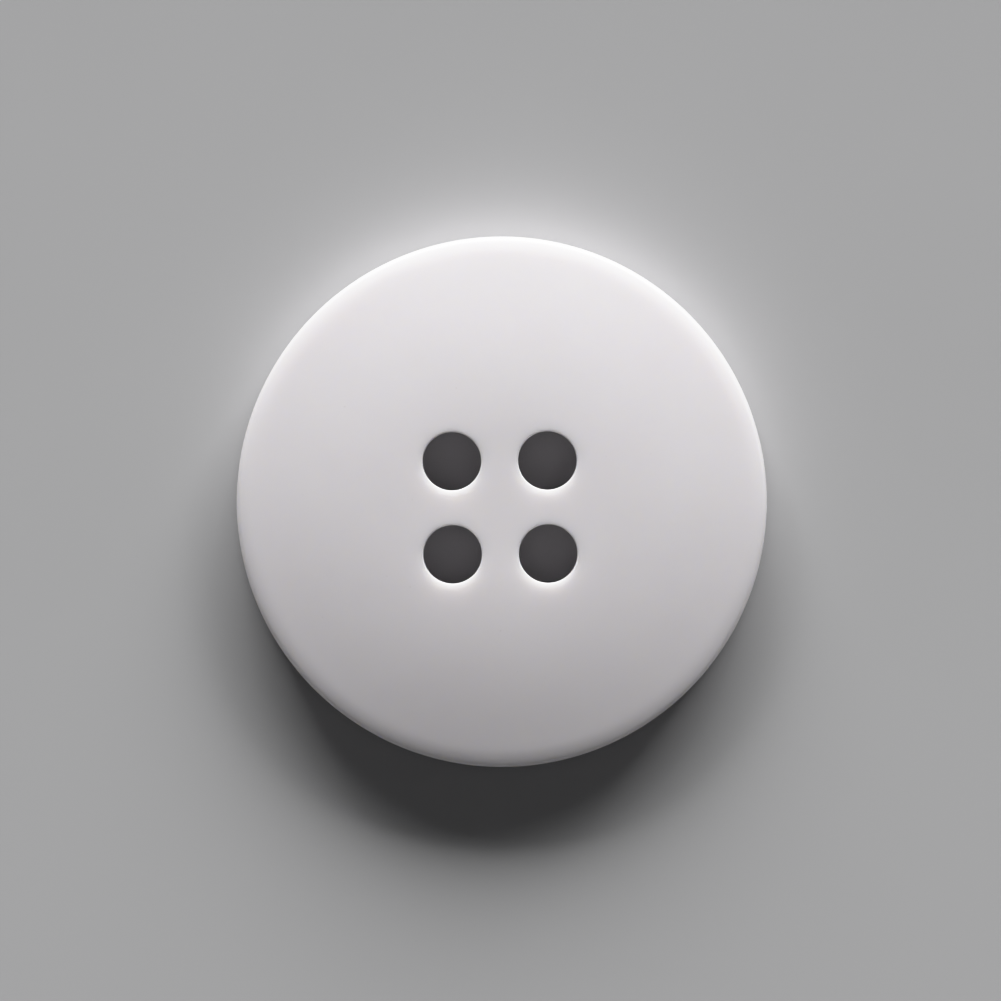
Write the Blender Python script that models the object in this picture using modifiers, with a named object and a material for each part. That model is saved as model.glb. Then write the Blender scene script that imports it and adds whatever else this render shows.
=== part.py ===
"""A four-hole sew-on button: one turned disc of white resin, drilled for its thread.

Units are metres. The flat back face lies on the XY plane, centred on the origin, and the
front faces +Z. +Y is the button's top edge as it is sewn on.
"""

import math

import bpy

MM = 0.001

# The turned disc
DISC_DIAMETER = 20.0 * MM  # 32 ligne
DISC_THICKNESS = 2.8 * MM  # at the flat centre
FLAT_RADIUS = 2.5 * MM  # the flat centre that the thread crosses
CROWN_RADIUS = 9.0 * MM  # where the crown reaches its full slope
CROWN_SLOPE = math.tan(math.radians(10.0))
CROWN_EASE = 1.2  # above 1, the slope grows quickly at first and then levels out
SHOULDER_ROUND = 3.5 * MM  # a long easy round outside the crown
SHOULDER_SLOPE = math.tan(math.radians(18.5))  # where the long round ends
FRONT_ROUND = 0.23 * MM  # a tight round from there down to the rim
BACK_ROUND = 0.35 * MM  # edge between rim and back face

# The four thread holes, drilled together through the disc
HOLE_DIAMETER = 2.21 * MM
HOLE_PITCH_X = 3.60 * MM
HOLE_PITCH_Y = 3.51 * MM
PATTERN_CENTRE_X = -0.065 * MM  # the drill head's set-up error against the disc's axis
PATTERN_CENTRE_Y = -0.21 * MM
PATTERN_TURN = math.radians(0.45)
LIP_ROUND = 0.05 * MM  # tumbling takes the sharpness off both mouths of each hole
LIP_SWEEP = math.radians(78)  # the lip stops short of tangent, so it meets the face cleanly

# Fineness
DISC_SIDES = 96
HOLE_SIDES = 32
CROWN_STEPS = 7
SHOULDER_STEPS = 3
ROUND_STEPS = 6
LIP_STEPS = 3
MERGE_DISTANCE = 0.001 * MM
CUTTER_OVERRUN = 0.5 * MM

# White resin, satin from the tumbling barrel
RESIN_COLOUR = (0.83, 0.815, 0.82, 1.0)
RESIN_ROUGHNESS = 0.4
RESIN_SUBSURFACE = 0.3
RESIN_SCATTER = 0.5 * MM


def clear_scene():
    for old in list(bpy.data.objects):
        bpy.data.objects.remove(old)


def new_collection(name):
    made = bpy.data.collections.new(name)
    bpy.context.scene.collection.children.link(made)
    return made


def resin_material():
    material = bpy.data.materials.new("white_resin")
    material.use_nodes = True
    shader = material.node_tree.nodes["Principled BSDF"]
    shader.inputs["Base Color"].default_value = RESIN_COLOUR
    shader.inputs["Roughness"].default_value = RESIN_ROUGHNESS
    shader.inputs["Metallic"].default_value = 0.0
    shader.inputs["Subsurface Weight"].default_value = RESIN_SUBSURFACE
    shader.inputs["Subsurface Scale"].default_value = RESIN_SCATTER
    return material


def arc(centre, radius, start, end, steps):
    """Points (r, z) along an arc, angles measured from +r towards +z, both ends included."""
    points = []
    for step in range(steps + 1):
        angle = start + (end - start) * step / steps
        points.append((centre[0] + radius * math.cos(angle), centre[1] + radius * math.sin(angle)))
    return points


def crown_height(radius):
    """Height of the front face: flat, then falling ever more steeply up to CROWN_RADIUS."""
    if radius <= FLAT_RADIUS:
        return DISC_THICKNESS
    width = CROWN_RADIUS - FLAT_RADIUS
    along = min((radius - FLAT_RADIUS) / width, 1.0)
    power = CROWN_EASE + 1
    eased = along - (1 - (1 - along) ** power) / power
    beyond = max(radius - CROWN_RADIUS, 0.0)
    return DISC_THICKNESS - CROWN_SLOPE * (width * eased + beyond)


def disc_profile():
    """Half of the disc's section, from the axis over the front and down the rim to the axis."""
    outer = DISC_DIAMETER / 2
    crown_angle = math.atan(CROWN_SLOPE)
    shoulder_angle = math.atan(SHOULDER_SLOPE)

    # Centres of the two rounds, each arc running on smoothly into the next
    front_r = outer - FRONT_ROUND
    shoulder_r = front_r - (SHOULDER_ROUND - FRONT_ROUND) * math.sin(shoulder_angle)
    crown_end_z = crown_height(shoulder_r + SHOULDER_ROUND * math.sin(crown_angle))
    shoulder_z = crown_end_z - SHOULDER_ROUND * math.cos(crown_angle)
    front_z = shoulder_z + (SHOULDER_ROUND - FRONT_ROUND) * math.cos(shoulder_angle)

    points = [(0.0, DISC_THICKNESS)]
    for step in range(CROWN_STEPS + 1):
        radius = FLAT_RADIUS + (CROWN_RADIUS - FLAT_RADIUS) * step / CROWN_STEPS
        points.append((radius, crown_height(radius)))
    leaving = math.pi / 2 - crown_angle
    turning = math.pi / 2 - shoulder_angle
    points += arc((shoulder_r, shoulder_z), SHOULDER_ROUND, leaving, turning, SHOULDER_STEPS)
    points += arc((front_r, front_z), FRONT_ROUND, turning, 0.0, ROUND_STEPS)[1:]
    back_centre = (outer - BACK_ROUND, BACK_ROUND)
    points += arc(back_centre, BACK_ROUND, 0.0, -math.pi / 2, ROUND_STEPS)
    points.append((0.0, 0.0))
    return points


def hole_profile():
    """Half of the hole's section: a straight wall that flares round at both faces."""
    wall = HOLE_DIAMETER / 2
    lip_r = wall + LIP_ROUND
    stop = math.pi - LIP_SWEEP
    front = arc((lip_r, DISC_THICKNESS - LIP_ROUND), LIP_ROUND, stop, math.pi, LIP_STEPS)
    back = arc((lip_r, LIP_ROUND), LIP_ROUND, math.pi, math.pi + LIP_SWEEP, LIP_STEPS)

    # Past the faces the flare carries on straight, in the direction in which its arc ends.
    reach = CUTTER_OVERRUN / math.cos(LIP_SWEEP) * math.sin(LIP_SWEEP)
    above = (front[0][0] + reach, front[0][1] + CUTTER_OVERRUN)
    below = (back[-1][0] + reach, back[-1][1] - CUTTER_OVERRUN)
    return [(0.0, above[1]), above, *front, *back, below, (0.0, below[1])]


def turned(name, profile, sides, collection):
    """An object made by turning a profile of (r, z) points once round Z."""
    mesh = bpy.data.meshes.new(name)
    points = [(r, 0.0, z) for r, z in profile]
    edges = [(i, i + 1) for i in range(len(points) - 1)]
    mesh.from_pydata(points, edges, [])
    made = bpy.data.objects.new(name, mesh)
    collection.objects.link(made)

    screw = made.modifiers.new("turn", "SCREW")
    screw.steps = sides
    screw.render_steps = sides
    screw.use_merge_vertices = True
    screw.merge_threshold = MERGE_DISTANCE
    screw.use_smooth_shade = True
    return made


def hole_places():
    """The holes' centres: a rectangle, turned a little and set off the disc's centre."""
    cos_turn = math.cos(PATTERN_TURN)
    sin_turn = math.sin(PATTERN_TURN)
    places = {}
    for row, side_y in (("upper", 1), ("lower", -1)):
        for column, side_x in (("left", -1), ("right", 1)):
            x = side_x * HOLE_PITCH_X / 2
            y = side_y * HOLE_PITCH_Y / 2
            places[f"{row}_{column}"] = (
                PATTERN_CENTRE_X + x * cos_turn - y * sin_turn,
                PATTERN_CENTRE_Y + x * sin_turn + y * cos_turn,
            )
    return places


def drill(disc, collection):
    """Cuts the four thread holes, each with its own cutter."""
    for place, (x, y) in hole_places().items():
        cutter = turned(f"hole_{place}", hole_profile(), HOLE_SIDES, collection)
        cutter.location = (x, y, 0.0)
        cutter.hide_render = True
        cutter.display_type = "WIRE"
        cut = disc.modifiers.new(f"drill_{place}", "BOOLEAN")
        cut.operation = "DIFFERENCE"
        cut.solver = "EXACT"
        cut.object = cutter


def main():
    clear_scene()
    parts = new_collection("sew_on_button")
    cutters = new_collection("cutters")
    disc = turned("button_disc", disc_profile(), DISC_SIDES, parts)
    disc.data.materials.append(resin_material())
    drill(disc, cutters)


main()
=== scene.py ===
"""The sew-on button's looks: a fine mesh of the drilled resin disc, its satin translucent resin,
a pale floor, soft studio light and a camera straight above the front face.

Everything is in metres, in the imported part's own frame: the button lies on its back at z = 0,
its front faces +Z and +Y is the top of the picture.
"""

import math

import bmesh
import bpy
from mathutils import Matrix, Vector


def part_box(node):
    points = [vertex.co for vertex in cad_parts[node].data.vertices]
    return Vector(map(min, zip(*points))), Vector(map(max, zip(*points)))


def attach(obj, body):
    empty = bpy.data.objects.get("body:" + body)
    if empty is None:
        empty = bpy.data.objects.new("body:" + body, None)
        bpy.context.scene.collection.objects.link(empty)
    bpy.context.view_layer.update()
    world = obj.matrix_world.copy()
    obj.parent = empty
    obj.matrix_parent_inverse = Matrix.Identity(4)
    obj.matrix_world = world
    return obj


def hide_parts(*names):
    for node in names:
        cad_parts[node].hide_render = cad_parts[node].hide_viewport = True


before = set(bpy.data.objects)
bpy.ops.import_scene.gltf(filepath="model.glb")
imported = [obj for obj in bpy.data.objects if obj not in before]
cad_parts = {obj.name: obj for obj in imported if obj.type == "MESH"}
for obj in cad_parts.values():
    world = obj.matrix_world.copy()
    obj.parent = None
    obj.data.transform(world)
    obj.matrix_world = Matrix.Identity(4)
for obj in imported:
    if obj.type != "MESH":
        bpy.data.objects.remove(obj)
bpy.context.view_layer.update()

MM = 0.001
NODE = "button_disc"

# The disc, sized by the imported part
DISC_LOW, DISC_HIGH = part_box(NODE)
DISC_RADIUS = (DISC_HIGH.x - DISC_LOW.x) / 2
BACK_Z = DISC_LOW.z
FRONT_Z = DISC_HIGH.z

# Its turned section
FLAT_RADIUS = 2.5 * MM
CROWN_RADIUS = 9.0 * MM
CROWN_SLOPE = math.tan(math.radians(10.0))
CROWN_EASE = 1.2
SHOULDER_ROUND = 3.5 * MM  # a long easy round first
SHOULDER_SLOPE = math.tan(math.radians(18.5))
FRONT_ROUND = 0.23 * MM  # then a tight one, down to the rim
BACK_ROUND = 0.35 * MM

# The thread holes
HOLE_RADIUS = 2.21 * MM / 2
HOLE_PITCH = Vector((3.60 * MM, 3.51 * MM))
PATTERN_CENTRE = Vector((-0.065 * MM, -0.21 * MM))
PATTERN_TURN = math.radians(0.45)
LIP_ROUND = 0.05 * MM

# How finely the mesh is divided
CELL_SIDE_STEPS = 32
LIP_STEPS = 12
WALL_STEPS = 10
CELL_STEPS = 10
BLOCK_STEPS = 14
BLOCK_CIRCLE = 6.0 * MM
CROWN_STEPS = 14
SHOULDER_STEPS = 10
ROUND_STEPS = 12
RIM_STEPS = 6
WELD_DISTANCE = 0.0001 * MM

# The resin's colour and gloss
MICRON = 0.001 * MM
MILKY_LIGHT = (0.852, 0.826, 0.846, 1.0)
MILKY_DARK = (0.838, 0.810, 0.830, 1.0)
SPECK_COLOUR = (0.60, 0.57, 0.56, 1.0)
SPECK_STRENGTH = 0.3
SPECK_SPACING = 0.83 * MM
SPECK_RADIUS = 0.045 * MM
ROUGH_LOW = 0.36
ROUGH_HIGH = 0.45
# How much smoother tumbling leaves the rim's edges and the holes' mouths. Below a roughness of
# about 0.27 the denoiser leaves dark patches, so this stays small.
EDGE_POLISH = 0.07
RESIN_IOR = 1.5
SCATTER_DISTANCE = 0.75 * MM
SCATTER_BY_COLOUR = (1.0, 0.98, 0.88)
SPECK_ODDS = (0.55, 0.95)  # a cell's random number: no speck at the first, a full one at the second
CLOUD_SCALE = 260.0  # noise cells in a metre, here and in each scale below
SATIN_SCALE = 900.0
NOISE_RANGE = (0.3, 0.7)  # where nearly all of a noise's values lie
RIM_WEAR = (0.95, 0.99)  # where it starts and is full, as shares of the disc's radius
MOUTH_WEAR = 1.2  # how far it reaches from a hole, as a multiple of the mouth's radius

# The resin's relief: each mark's height is in microns
PEEL_HEIGHT = 0.7
PEEL_SCALE = 2200.0
PINHOLE_DEPTH = 1.5
RIM_MARK_HEIGHT = 1.0
RIM_MARK_PITCH = 0.22 * MM
RIM_MARK_EDGE = (0.08 * MM, 0.02 * MM)  # in from the rim, where its marks start and are full
BACK_MARK_HEIGHT = 1.0
BACK_MARK_PITCH = 0.25 * MM
BACK_MARK_REACH = 0.05 * MM
DRILL_MARK_HEIGHT = 4.0
DRILL_MARK_PITCH = 0.18 * MM
DRILL_MARK_REACH = 0.02 * MM
MARK_WANDER = 0.03 * MM
TURNING_WANDER_SCALE = 500.0
DRILL_WANDER_SCALE = 1500.0

# The studio
PAPER_LIGHT = (0.52, 0.52, 0.525, 1.0)
PAPER_DARK = (0.49, 0.49, 0.495, 1.0)
PAPER_TOOTH = 0.5 * MICRON
PAPER_TONE_SCALE = 60.0
PAPER_TOOTH_SCALE = 3500.0
PAPER_ROUGHNESS = 0.9
FLOOR_HALF = 1.5
FLOOR_CELLS = 8
FLOOR_GAP = 0.01 * MM
WORLD_COLOUR = (0.98, 0.98, 1.0, 1.0)
HORIZON = 0.40  # as bright as the floor, so that the two meet unseen
WALLS = 0.10
CEILING = 0.02
BACKDROP_TOP = 0.06  # heights in the sky, from 0 at the horizon to 1 overhead
CEILING_RISE = (0.6, 0.95)

# The key light, a curved bank of soft panels low beyond the button's top edge
KEY_AZIMUTH = 5.4
KEY_ELEVATION = 18.5
KEY_PANELS = 3
PANEL_WIDTH = 22.0  # degrees, as seen from the button
PANEL_HEIGHT = 26.0
KEY_DISTANCE = 30.0  # far off, so that it lights the whole floor evenly
PANEL_POWER = 6615.0

# The camera, and its film's response: even up to FILM_STRAIGHT, then easing off to white
SENSOR_WIDTH = 36.0
LENS = 400.0
PICTURE_WIDTH = 37.79 * MM  # at half the disc's thickness
AIM_OFFSET = Vector((-0.047 * MM, 0.050 * MM))
FILM_STRAIGHT = 0.55
FILM_SHOULDER = ((0.70, 0.69), (0.88, 0.83), (1.10, 0.92))  # scene brightness, shown brightness
FILM_WHITE = 2.0
CLIP_NEAR = 0.01  # of the camera's distance
CLIP_FAR = 10

CORNERS = ((1, -1), (1, 1), (-1, 1), (-1, -1))  # anticlockwise from the lower right


# ---------------------------------------------------------------- the button's shape


def crown_height(radius):
    """Height of the front face before drilling, at a distance from the turning axis."""
    if radius <= FLAT_RADIUS:
        return FRONT_Z
    width = CROWN_RADIUS - FLAT_RADIUS
    along = min((radius - FLAT_RADIUS) / width, 1.0)
    power = CROWN_EASE + 1
    eased = along - (1 - (1 - along) ** power) / power
    beyond = max(radius - CROWN_RADIUS, 0.0)
    return FRONT_Z - CROWN_SLOPE * (width * eased + beyond)


def lip_drop(distance):
    """How far a hole's rounded lip lies under the face, at a distance from the hole's axis."""
    inwards = HOLE_RADIUS + LIP_ROUND - distance
    if inwards <= 0:
        return 0.0
    return LIP_ROUND - math.sqrt(max(LIP_ROUND**2 - inwards**2, 0.0))


def turned_by(point, angle):
    cos_a = math.cos(angle)
    sin_a = math.sin(angle)
    return Vector((point.x * cos_a - point.y * sin_a, point.x * sin_a + point.y * cos_a))


def to_plan(local):
    """From the drilled pattern's own axes to the disc's."""
    return PATTERN_CENTRE + turned_by(local, PATTERN_TURN)


def unit(angle):
    return Vector((math.cos(angle), math.sin(angle)))


def cell_centre(sign_x, sign_y):
    return Vector((sign_x * HOLE_PITCH.x / 2, sign_y * HOLE_PITCH.y / 2))


def cell_outline(centre):
    """Points round a hole's rectangular cell, anticlockwise from its lower right corner."""
    half = HOLE_PITCH / 2
    points = []
    for side, corner in enumerate(CORNERS):
        following = CORNERS[(side + 1) % 4]
        for step in range(CELL_SIDE_STEPS):
            across = math.tan(math.pi / 4 * (2 * step / CELL_SIDE_STEPS - 1))
            share = (across + 1) / 2
            x = corner[0] + (following[0] - corner[0]) * share
            y = corner[1] + (following[1] - corner[1]) * share
            points.append(centre + Vector((x * half.x, y * half.y)))
    return points


def hole_loops(centre):
    """Loops of one hole's skin, from its cell on the back, up the wall, to its cell on the front."""
    count = 4 * CELL_SIDE_STEPS
    outline = cell_outline(centre)
    directions = [unit(2 * math.pi * (k / count - 1 / 8)) for k in range(count)]

    def sheet(height):
        """From the hole's mouth outwards: the lip, then the flat up to the cell's outline."""
        loops = []
        for step in range(LIP_STEPS + 1):
            distance = HOLE_RADIUS + LIP_ROUND * (1 - math.cos(math.pi / 2 * step / LIP_STEPS))
            loops.append([(centre + d * distance, distance) for d in directions])
        lip_edge = loops[-1]
        for step in range(1, CELL_STEPS + 1):
            share = step / CELL_STEPS
            ring = [inner.lerp(outer, share) for (inner, _), outer in zip(lip_edge, outline)]
            loops.append([(point, (point - centre).length) for point in ring])
        return [[height(to_plan(point), distance) for point, distance in loop] for loop in loops]

    def front(plan, distance):
        return Vector((plan.x, plan.y, crown_height(plan.length) - lip_drop(distance)))

    def back(plan, distance):
        return Vector((plan.x, plan.y, BACK_Z + lip_drop(distance)))

    front_sheet = sheet(front)
    back_sheet = sheet(back)
    wall = []
    for step in range(1, WALL_STEPS):
        share = step / WALL_STEPS
        wall.append([low.lerp(high, share) for low, high in zip(back_sheet[0], front_sheet[0])])
    return back_sheet[::-1] + wall + front_sheet


def block_outline():
    """Points round the four cells together, anticlockwise from their lower right corner."""
    outline = []
    for turn in range(4):
        for sign_x, sign_y in (CORNERS[turn], CORNERS[(turn + 1) % 4]):
            cell = cell_outline(cell_centre(sign_x, sign_y))
            outline += cell[turn * CELL_SIDE_STEPS : (turn + 1) * CELL_SIDE_STEPS]
    return [to_plan(point) for point in outline]


def arc(centre, radius, start, end, steps):
    """Points (r, z) along an arc, angles measured from +r towards +z, both ends included."""
    points = []
    for step in range(steps + 1):
        angle = start + (end - start) * step / steps
        points.append((centre[0] + radius * math.cos(angle), centre[1] + radius * math.sin(angle)))
    return points


def section():
    """The disc's section (r, z) outside the block's circle: crown, shoulder, rim and back."""
    crown_angle = math.atan(CROWN_SLOPE)
    shoulder_angle = math.atan(SHOULDER_SLOPE)
    round_r = DISC_RADIUS - FRONT_ROUND
    shoulder_r = round_r - (SHOULDER_ROUND - FRONT_ROUND) * math.sin(shoulder_angle)
    start_r = shoulder_r + SHOULDER_ROUND * math.sin(crown_angle)
    shoulder_z = crown_height(start_r) - SHOULDER_ROUND * math.cos(crown_angle)
    round_z = shoulder_z + (SHOULDER_ROUND - FRONT_ROUND) * math.cos(shoulder_angle)

    points = []
    for step in range(1, CROWN_STEPS):
        radius = BLOCK_CIRCLE + (start_r - BLOCK_CIRCLE) * step / CROWN_STEPS
        points.append((radius, crown_height(radius)))
    leave = math.pi / 2 - crown_angle
    turn = math.pi / 2 - shoulder_angle
    points += arc((shoulder_r, shoulder_z), SHOULDER_ROUND, leave, turn, SHOULDER_STEPS)
    points += arc((round_r, round_z), FRONT_ROUND, turn, 0.0, ROUND_STEPS)[1:]
    back_z = BACK_Z + BACK_ROUND
    for step in range(1, RIM_STEPS):
        points.append((DISC_RADIUS, round_z + (back_z - round_z) * step / RIM_STEPS))
    edge = DISC_RADIUS - BACK_ROUND
    points += arc((edge, back_z), BACK_ROUND, 0.0, -math.pi / 2, ROUND_STEPS)
    for step in range(1, CROWN_STEPS):
        points.append((edge + (BLOCK_CIRCLE - edge) * step / CROWN_STEPS, BACK_Z))
    return points


def disc_loops():
    """Loops from the block's outline on the front, over the crown and rim, to it on the back."""
    outline = block_outline()
    count = len(outline)
    directions = [unit(2 * math.pi * (k / count - 1 / 8) + PATTERN_TURN) for k in range(count)]
    front = []
    back = []
    for step in range(BLOCK_STEPS + 1):
        share = step / BLOCK_STEPS
        ring = [point.lerp(d * BLOCK_CIRCLE, share) for point, d in zip(outline, directions)]
        front.append([Vector((p.x, p.y, crown_height(p.length))) for p in ring])
        back.append([Vector((p.x, p.y, BACK_Z)) for p in ring])
    outer = [[Vector((d.x * r, d.y * r, z)) for d in directions] for r, z in section()]
    return front + outer + back[::-1]


def add_skin(bm, loops):
    """Joins each closed loop of points to the next one with a ring of quads."""
    rings = [[bm.verts.new(point) for point in loop] for loop in loops]
    for ring, following in zip(rings, rings[1:]):
        count = len(ring)
        for k in range(count):
            after = (k + 1) % count
            bm.faces.new((ring[k], following[k], following[after], ring[after]))


def make_button():
    bm = bmesh.new()
    for sign_x in (-1, 1):
        for sign_y in (-1, 1):
            add_skin(bm, hole_loops(cell_centre(sign_x, sign_y)))
    add_skin(bm, disc_loops())
    bmesh.ops.remove_doubles(bm, verts=bm.verts, dist=WELD_DISTANCE)
    bmesh.ops.recalc_face_normals(bm, faces=bm.faces)
    mesh = bpy.data.meshes.new("button")
    bm.to_mesh(mesh)
    bm.free()
    mesh.shade_smooth()
    button = bpy.data.objects.new("button", mesh)
    bpy.context.scene.collection.objects.link(button)
    return button


# ---------------------------------------------------------------- materials


class Nodes:
    """A short way to add and link a material's nodes."""

    def __init__(self, tree):
        self.tree = tree

    def add(self, kind, inputs=None, **settings):
        node = self.tree.nodes.new(kind)
        for name, value in settings.items():
            setattr(node, name, value)
        for name, value in (inputs or {}).items():
            if isinstance(value, bpy.types.NodeSocket):
                self.tree.links.new(value, node.inputs[name])
            else:
                node.inputs[name].default_value = value
        return node

    def noise(self, where, scale, detail, roughness=0.5):
        inputs = {"Vector": where, "Scale": scale, "Detail": detail, "Roughness": roughness}
        return self.add("ShaderNodeTexNoise", inputs).outputs["Fac"]

    def math(self, operation, *values, clamp=False):
        node = self.add("ShaderNodeMath", operation=operation, use_clamp=clamp)
        for socket, value in zip(node.inputs, values):
            if isinstance(value, bpy.types.NodeSocket):
                self.tree.links.new(value, socket)
            else:
                socket.default_value = value
        return node.outputs[0]

    def vector(self, operation, *values):
        node = self.add("ShaderNodeVectorMath", operation=operation)
        for socket, value in zip(node.inputs, values):
            if isinstance(value, bpy.types.NodeSocket):
                self.tree.links.new(value, socket)
            else:
                socket.default_value = value
        return node.outputs["Value" if operation == "LENGTH" else "Vector"]

    def distance_in_plan(self, vector):
        return self.vector("LENGTH", self.vector("MULTIPLY", vector, (1.0, 1.0, 0.0)))

    def remap(self, value, low, high, to_low, to_high, smooth=False):
        """From low..high to to_low..to_high, and no further at either end."""
        inputs = {
            "Value": value,
            "From Min": low,
            "From Max": high,
            "To Min": to_low,
            "To Max": to_high,
        }
        kind = "SMOOTHSTEP" if smooth else "LINEAR"
        return self.add("ShaderNodeMapRange", inputs, interpolation_type=kind).outputs["Result"]

    def mix(self, factor, first, second):
        node = self.add("ShaderNodeMix", {"Factor": factor}, data_type="RGBA")
        for name, colour in (("A", first), ("B", second)):
            socket = [i for i in node.inputs if i.name == name and i.type == "RGBA"][0]
            if isinstance(colour, bpy.types.NodeSocket):
                self.tree.links.new(colour, socket)
            else:
                socket.default_value = colour
        return [o for o in node.outputs if o.type == "RGBA"][0]

    def link(self, output, socket):
        self.tree.links.new(output, socket)


def new_material(name):
    material = bpy.data.materials.new(name)
    material.use_nodes = True
    tree = material.node_tree
    return material, Nodes(tree), tree.nodes["Principled BSDF"]


def hole_distance(nodes, where):
    """Distance from the axis of the nearest thread hole."""
    pattern = nodes.add(
        "ShaderNodeMapping",
        {
            "Vector": where,
            "Location": (*PATTERN_CENTRE, 0.0),
            "Rotation": (0.0, 0.0, PATTERN_TURN),
        },
        vector_type="TEXTURE",
    ).outputs["Vector"]
    quarter = nodes.vector("ABSOLUTE", pattern)
    from_axis = nodes.vector("SUBTRACT", quarter, (*(HOLE_PITCH / 2), 0.0))
    return nodes.distance_in_plan(from_axis)


def specks(nodes, where):
    """A few pinholes and dust specks under a tenth of a millimetre across, as a 0 to 1 mask."""
    cells = nodes.add("ShaderNodeTexVoronoi", {"Vector": where, "Scale": 1 / SPECK_SPACING})
    edge = SPECK_RADIUS / SPECK_SPACING
    spot = nodes.remap(cells.outputs["Distance"], edge, edge / 2, 0.0, 1.0)
    chance = nodes.add("ShaderNodeSeparateColor", {"Color": cells.outputs["Color"]}).outputs["Red"]
    return nodes.math("MULTIPLY", spot, nodes.remap(chance, *SPECK_ODDS, 0.0, 1.0))


def grooves(nodes, place, pitch):
    """Even waves from -1 to 1, one for each pitch along a distance."""
    return nodes.math("SINE", nodes.math("MULTIPLY", place, 2 * math.pi / pitch))


def turning_marks(nodes, where, height, radius):
    """Faint grooves that the lathe left round the rim and across the flat back, in microns."""
    shift = nodes.math("MULTIPLY", nodes.noise(where, TURNING_WANDER_SCALE, 2.0), MARK_WANDER)
    on_rim = grooves(nodes, nodes.math("ADD", height, shift), RIM_MARK_PITCH)
    on_back = grooves(nodes, nodes.math("ADD", radius, shift), BACK_MARK_PITCH)
    rim_low = DISC_RADIUS - RIM_MARK_EDGE[0]
    rim_high = DISC_RADIUS - RIM_MARK_EDGE[1]
    rim_share = nodes.remap(radius, rim_low, rim_high, 0.0, RIM_MARK_HEIGHT, smooth=True)
    back_share = nodes.remap(height, BACK_Z, BACK_Z + BACK_MARK_REACH, BACK_MARK_HEIGHT, 0.0)
    rim_relief = nodes.math("MULTIPLY", on_rim, rim_share)
    return nodes.math("MULTIPLY_ADD", on_back, back_share, rim_relief)


def drill_marks(nodes, where, height, from_hole):
    """Fine rings on the walls of the holes, in microns."""
    shift = nodes.math("MULTIPLY", nodes.noise(where, DRILL_WANDER_SCALE, 2.0), MARK_WANDER)
    rings = grooves(nodes, nodes.math("ADD", height, shift), DRILL_MARK_PITCH)
    edge = HOLE_RADIUS + DRILL_MARK_REACH
    share = nodes.remap(from_hole, HOLE_RADIUS, edge, DRILL_MARK_HEIGHT, 0.0)
    return nodes.math("MULTIPLY", rings, share)


def resin():
    """White cast resin: a little cloudy, satin from the tumbling barrel, and letting light in."""
    material, nodes, shader = new_material("white_resin")
    where = nodes.add("ShaderNodeTexCoord").outputs["Object"]
    height = nodes.add("ShaderNodeSeparateXYZ", {"Vector": where}).outputs["Z"]
    radius = nodes.distance_in_plan(where)
    from_hole = hole_distance(nodes, where)
    dots = specks(nodes, where)

    # Colour: milky clouds, then the specks
    cloud = nodes.remap(nodes.noise(where, CLOUD_SCALE, 4.0, 0.6), *NOISE_RANGE, 0.0, 1.0)
    milky = nodes.mix(cloud, MILKY_DARK, MILKY_LIGHT)
    speckled = nodes.mix(nodes.math("MULTIPLY", dots, SPECK_STRENGTH), milky, SPECK_COLOUR)
    nodes.link(speckled, shader.inputs["Base Color"])

    # Roughness: uneven satin, rubbed smoother where the barrel's media wear most
    uneven = nodes.noise(where, SATIN_SCALE, 5.0, 0.65)
    satin = nodes.remap(uneven, *NOISE_RANGE, ROUGH_LOW, ROUGH_HIGH)
    worn_from, worn_to = (share * DISC_RADIUS for share in RIM_WEAR)
    rim_wear = nodes.remap(radius, worn_from, worn_to, 0.0, 1.0, smooth=True)
    mouth = HOLE_RADIUS + LIP_ROUND
    mouth_wear = nodes.remap(from_hole, MOUTH_WEAR * mouth, mouth, 0.0, 1.0, smooth=True)
    wear = nodes.math("MULTIPLY", nodes.math("MAXIMUM", rim_wear, mouth_wear), EDGE_POLISH)
    nodes.link(nodes.math("SUBTRACT", satin, wear), shader.inputs["Roughness"])

    # Relief, added up in microns
    peel = nodes.math("MULTIPLY", nodes.noise(where, PEEL_SCALE, 2.0), PEEL_HEIGHT)
    relief = nodes.math("ADD", peel, turning_marks(nodes, where, height, radius))
    relief = nodes.math("ADD", relief, drill_marks(nodes, where, height, from_hole))
    relief = nodes.math("MULTIPLY_ADD", dots, -PINHOLE_DEPTH, relief)
    bump = nodes.add("ShaderNodeBump", {"Height": relief, "Strength": 1.0, "Distance": MICRON})
    nodes.link(bump.outputs["Normal"], shader.inputs["Normal"])

    shader.inputs["IOR"].default_value = RESIN_IOR
    shader.inputs["Subsurface Weight"].default_value = 1.0
    shader.inputs["Subsurface Radius"].default_value = SCATTER_BY_COLOUR
    shader.inputs["Subsurface Scale"].default_value = SCATTER_DISTANCE
    return material


def floor_paper():
    """The plain pale floor: matt studio paper."""
    material, nodes, shader = new_material("pale_paper")
    where = nodes.add("ShaderNodeTexCoord").outputs["Object"]
    tone = nodes.noise(where, PAPER_TONE_SCALE, 4.0)
    nodes.link(nodes.mix(tone, PAPER_DARK, PAPER_LIGHT), shader.inputs["Base Color"])
    tooth = nodes.noise(where, PAPER_TOOTH_SCALE, 3.0, 0.6)
    bump = nodes.add("ShaderNodeBump", {"Height": tooth, "Strength": 1.0, "Distance": PAPER_TOOTH})
    nodes.link(bump.outputs["Normal"], shader.inputs["Normal"])
    shader.inputs["Roughness"].default_value = PAPER_ROUGHNESS
    shader.inputs["Specular IOR Level"].default_value = 0.0  # no sheen at a glancing angle
    return material


# ---------------------------------------------------------------- the studio


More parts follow.
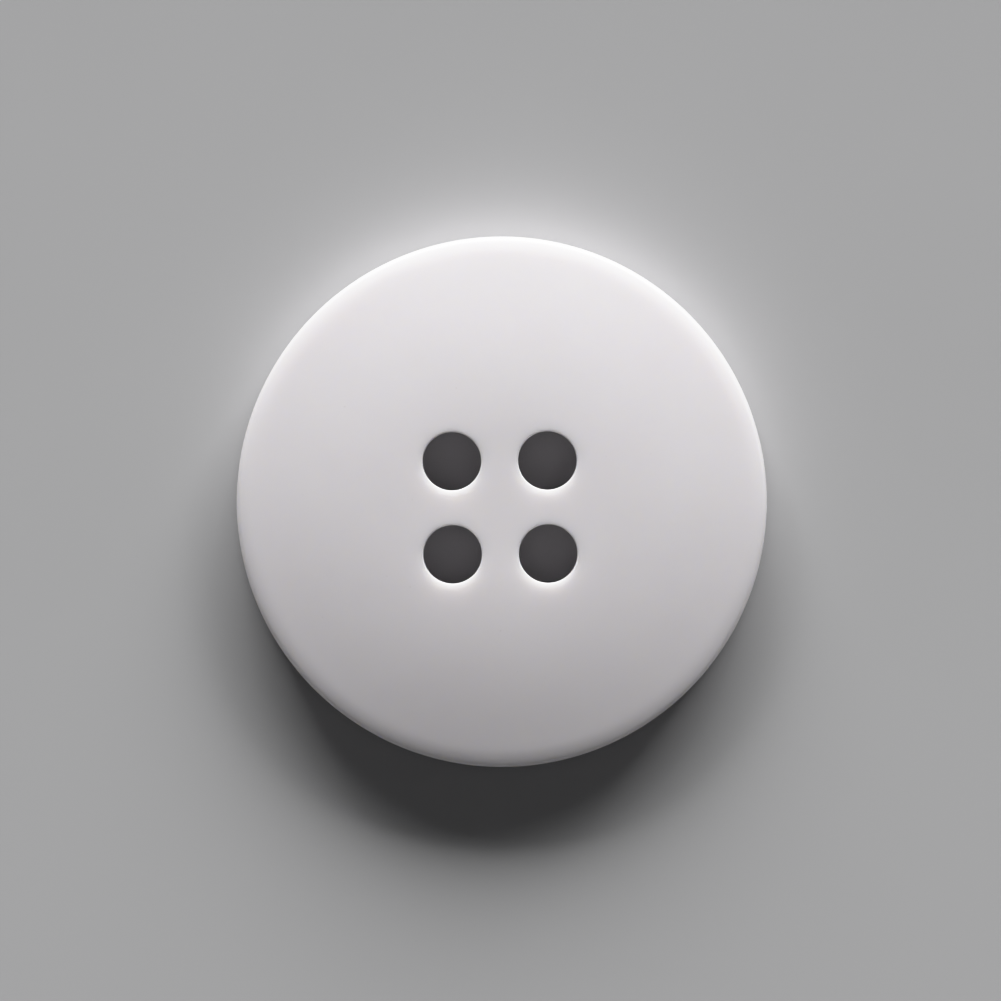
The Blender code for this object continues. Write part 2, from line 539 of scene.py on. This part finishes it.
def make_floor():
    mesh = bpy.data.meshes.new("floor")
    bm = bmesh.new()
    bmesh.ops.create_grid(bm, x_segments=FLOOR_CELLS, y_segments=FLOOR_CELLS, size=FLOOR_HALF)
    bm.to_mesh(mesh)
    bm.free()
    floor = bpy.data.objects.new("floor", mesh)
    floor.location.z = BACK_Z - FLOOR_GAP
    floor.data.materials.append(floor_paper())
    bpy.context.scene.collection.objects.link(floor)


def direction_of(azimuth, elevation):
    """A unit vector in degrees of azimuth, from +Y towards +X, and of elevation."""
    turn = math.radians(azimuth)
    rise = math.radians(elevation)
    return Vector((math.sin(turn) * math.cos(rise), math.cos(turn) * math.cos(rise), math.sin(rise)))


def make_key_light():
    for panel in range(KEY_PANELS):
        light = bpy.data.lights.new(f"key_{panel + 1}", "AREA")
        light.shape = "RECTANGLE"
        light.size = 2 * KEY_DISTANCE * math.tan(math.radians(PANEL_WIDTH / 2))
        light.size_y = 2 * KEY_DISTANCE * math.tan(math.radians(PANEL_HEIGHT / 2))
        light.energy = PANEL_POWER
        lamp = bpy.data.objects.new(light.name, light)
        azimuth = KEY_AZIMUTH + PANEL_WIDTH * (panel - (KEY_PANELS - 1) / 2)
        out = direction_of(azimuth, KEY_ELEVATION)
        lamp.location = out * KEY_DISTANCE
        lamp.rotation_mode = "QUATERNION"
        lamp.rotation_quaternion = out.to_track_quat("Z", "Y")
        lamp.visible_camera = False
        bpy.context.scene.collection.objects.link(lamp)


def make_world():
    """Even light all round: a pale backdrop at the horizon, dimmer walls, a dark ceiling."""
    world = bpy.data.worlds.new("studio")
    world.use_nodes = True
    nodes = Nodes(world.node_tree)
    direction = nodes.add("ShaderNodeTexCoord").outputs["Generated"]
    height = nodes.add("ShaderNodeSeparateXYZ", {"Vector": direction}).outputs["Z"]
    backdrop = nodes.remap(height, 0.0, BACKDROP_TOP, HORIZON, WALLS, smooth=True)
    dimming = nodes.remap(height, *CEILING_RISE, 0.0, WALLS - CEILING, smooth=True)
    background = world.node_tree.nodes["Background"]
    background.inputs["Color"].default_value = WORLD_COLOUR
    nodes.link(nodes.math("SUBTRACT", backdrop, dimming), background.inputs["Strength"])
    bpy.context.scene.world = world


def make_camera():
    data = bpy.data.cameras.new("camera")
    data.sensor_width = SENSOR_WIDTH
    data.lens = LENS
    camera = bpy.data.objects.new("camera", data)
    middle_z = (BACK_Z + FRONT_Z) / 2
    distance = PICTURE_WIDTH * LENS / SENSOR_WIDTH
    camera.location = (AIM_OFFSET.x, AIM_OFFSET.y, middle_z + distance)
    data.clip_start = distance * CLIP_NEAR
    data.clip_end = distance * CLIP_FAR
    bpy.context.scene.collection.objects.link(camera)
    bpy.context.scene.camera = camera


def set_film_response():
    settings = bpy.context.scene.view_settings
    settings.view_transform = "Standard"
    settings.use_curve_mapping = True
    mapping = settings.curve_mapping
    mapping.white_level = (FILM_WHITE, FILM_WHITE, FILM_WHITE)
    tone = mapping.curves[3]
    tone.points[0].handle_type = "VECTOR"
    tone.points.new(FILM_STRAIGHT / FILM_WHITE, FILM_STRAIGHT).handle_type = "VECTOR"
    for brightness, shown in FILM_SHOULDER:
        tone.points.new(brightness / FILM_WHITE, shown)
    mapping.update()


set_film_response()
make_camera()
make_world()
make_floor()
make_key_light()

button = make_button()
button.data.materials.append(resin())
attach(button, "root")
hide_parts(NODE)
